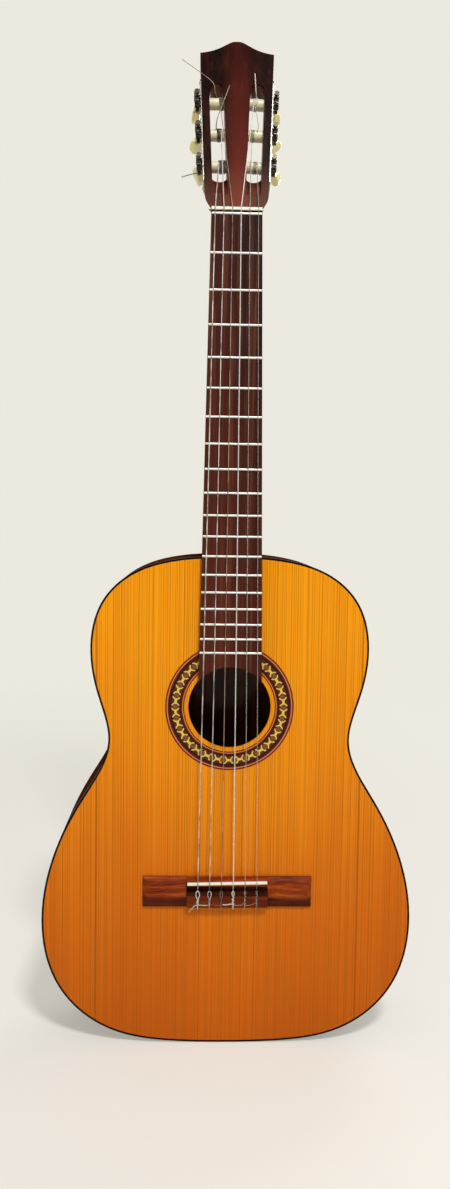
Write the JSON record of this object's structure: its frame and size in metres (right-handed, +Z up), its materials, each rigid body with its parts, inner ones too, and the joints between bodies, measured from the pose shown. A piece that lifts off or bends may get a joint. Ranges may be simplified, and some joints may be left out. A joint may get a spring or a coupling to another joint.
{
  "type": "classical guitar",
  "caption": "Six-string classical guitar with slotted headstock, worm-geared machine heads, rosette and tied bridge.",
  "frame": {"origin": "middle of the tail end's front edge, on the plane of the soundboard's face, where a stand's yoke carries the guitar", "axes": "+Z up the neck, -Y out of the soundboard, +X towards the treble side"},
  "size_m": [0.3746, 0.1106, 1.008],
  "materials": {
    "soundboard_wood": "gloss lacquer",
    "rib_wood": "gloss lacquer",
    "binding": "gloss",
    "inner_wood": "bare",
    "rosette_inlay": "inlay under lacquer",
    "neck_wood": "satin lacquer",
    "veneer_wood": "gloss lacquer",
    "dark_wood": "oiled",
    "bone": "polished bone",
    "fret_metal": "polished",
    "nylon": "clear nylon",
    "wound_string": "wound",
    "roller_plastic": "gloss",
    "button_plastic": "gloss",
    "gear_metal": "darkened",
    "plate_metal": "nickel plated"
  },
  "bodies": {
    "guitar": {"neck_block": "inner_wood", "tail_block": "inner_wood", "soundboard": "soundboard_wood", "rosette": "rosette_inlay", "binding_front": "binding", "back": "rib_wood", "binding_back": "binding", "rib_left": "rib_wood", "rib_right": "rib_wood", "lining_front": "inner_wood", "lining_back": "inner_wood", "sound_hole_ring": "inner_wood", "harmonic_bars": "inner_wood", "fan_braces": "inner_wood", "back_bars": "inner_wood", "heel_cap": "dark_wood", "neck": "neck_wood", "headstock_veneer": "veneer_wood", "fretboard": "dark_wood", "frets": "fret_metal", "nut": "bone", "tuner_plate_treble": "plate_metal", "plate_screws_treble": "plate_metal", "tuner_plate_bass": "plate_metal", "plate_screws_bass": "plate_metal", "bridge": "dark_wood", "saddle": "bone", "string_6": "wound_string", "string_5": "wound_string", "string_4": "wound_string", "string_3": "nylon", "string_2": "nylon", "string_1": "nylon"},
    "key_1": {"worm_shaft_1": "gear_metal", "button_1": "button_plastic"},
    "peg_1": {"roller_1": "roller_plastic", "worm_wheel_1": "gear_metal"},
    "key_2": {"worm_shaft_2": "gear_metal", "button_2": "button_plastic"},
    "peg_2": {"roller_2": "roller_plastic", "worm_wheel_2": "gear_metal"},
    "key_3": {"worm_shaft_3": "gear_metal", "button_3": "button_plastic"},
    "peg_3": {"roller_3": "roller_plastic", "worm_wheel_3": "gear_metal"},
    "key_6": {"worm_shaft_6": "gear_metal", "button_6": "button_plastic"},
    "peg_6": {"roller_6": "roller_plastic", "worm_wheel_6": "gear_metal"},
    "key_5": {"worm_shaft_5": "gear_metal", "button_5": "button_plastic"},
    "peg_5": {"roller_5": "roller_plastic", "worm_wheel_5": "gear_metal"},
    "key_4": {"worm_shaft_4": "gear_metal", "button_4": "button_plastic"},
    "peg_4": {"roller_4": "roller_plastic", "worm_wheel_4": "gear_metal"}
  },
  "joints": [
    {"name": "key_1_turn", "type": "hinge", "parent": "guitar", "child": "key_1", "pos_m": [0.0366, 0.02379, 0.88508], "axis": [0, 0.9622, -0.2723], "continuous": true},
    {"name": "peg_1_turn", "type": "hinge", "parent": "guitar", "child": "peg_1", "pos_m": [0.03193, 0.02144, 0.87678], "axis": [0.9993, -0.0104, -0.0367], "continuous": true},
    {"name": "key_2_turn", "type": "hinge", "parent": "guitar", "child": "key_2", "pos_m": [0.03794, 0.03331, 0.91873], "axis": [0, 0.9622, -0.2723], "continuous": true},
    {"name": "peg_2_turn", "type": "hinge", "parent": "guitar", "child": "peg_2", "pos_m": [0.03326, 0.03096, 0.91043], "axis": [0.9993, -0.0104, -0.0367], "continuous": true},
    {"name": "key_3_turn", "type": "hinge", "parent": "guitar", "child": "key_3", "pos_m": [0.03927, 0.04283, 0.95239], "axis": [0, 0.9622, -0.2723], "continuous": true},
    {"name": "peg_3_turn", "type": "hinge", "parent": "guitar", "child": "peg_3", "pos_m": [0.0346, 0.04048, 0.94408], "axis": [0.9993, -0.0104, -0.0367], "continuous": true},
    {"name": "key_6_turn", "type": "hinge", "parent": "guitar", "child": "key_6", "pos_m": [-0.0366, 0.02379, 0.88508], "axis": [0, 0.9622, -0.2723], "continuous": true},
    {"name": "peg_6_turn", "type": "hinge", "parent": "guitar", "child": "peg_6", "pos_m": [-0.03193, 0.02144, 0.87678], "axis": [-0.9993, -0.0104, -0.0367], "continuous": true},
    {"name": "key_5_turn", "type": "hinge", "parent": "guitar", "child": "key_5", "pos_m": [-0.03794, 0.03331, 0.91873], "axis": [0, 0.9622, -0.2723], "continuous": true},
    {"name": "peg_5_turn", "type": "hinge", "parent": "guitar", "child": "peg_5", "pos_m": [-0.03326, 0.03096, 0.91043], "axis": [-0.9993, -0.0104, -0.0367], "continuous": true},
    {"name": "key_4_turn", "type": "hinge", "parent": "guitar", "child": "key_4", "pos_m": [-0.03927, 0.04283, 0.95239], "axis": [0, 0.9622, -0.2723], "continuous": true},
    {"name": "peg_4_turn", "type": "hinge", "parent": "guitar", "child": "peg_4", "pos_m": [-0.0346, 0.04048, 0.94408], "axis": [-0.9993, -0.0104, -0.0367], "continuous": true}
  ],
  "couplings": [
    {"joint": "peg_1_turn", "follows": "key_1_turn", "ratio": 0.0625},
    {"joint": "peg_2_turn", "follows": "key_2_turn", "ratio": 0.0625},
    {"joint": "peg_3_turn", "follows": "key_3_turn", "ratio": 0.0625},
    {"joint": "peg_6_turn", "follows": "key_6_turn", "ratio": 0.0625},
    {"joint": "peg_5_turn", "follows": "key_5_turn", "ratio": 0.0625},
    {"joint": "peg_4_turn", "follows": "key_4_turn", "ratio": 0.0625}
  ]
}
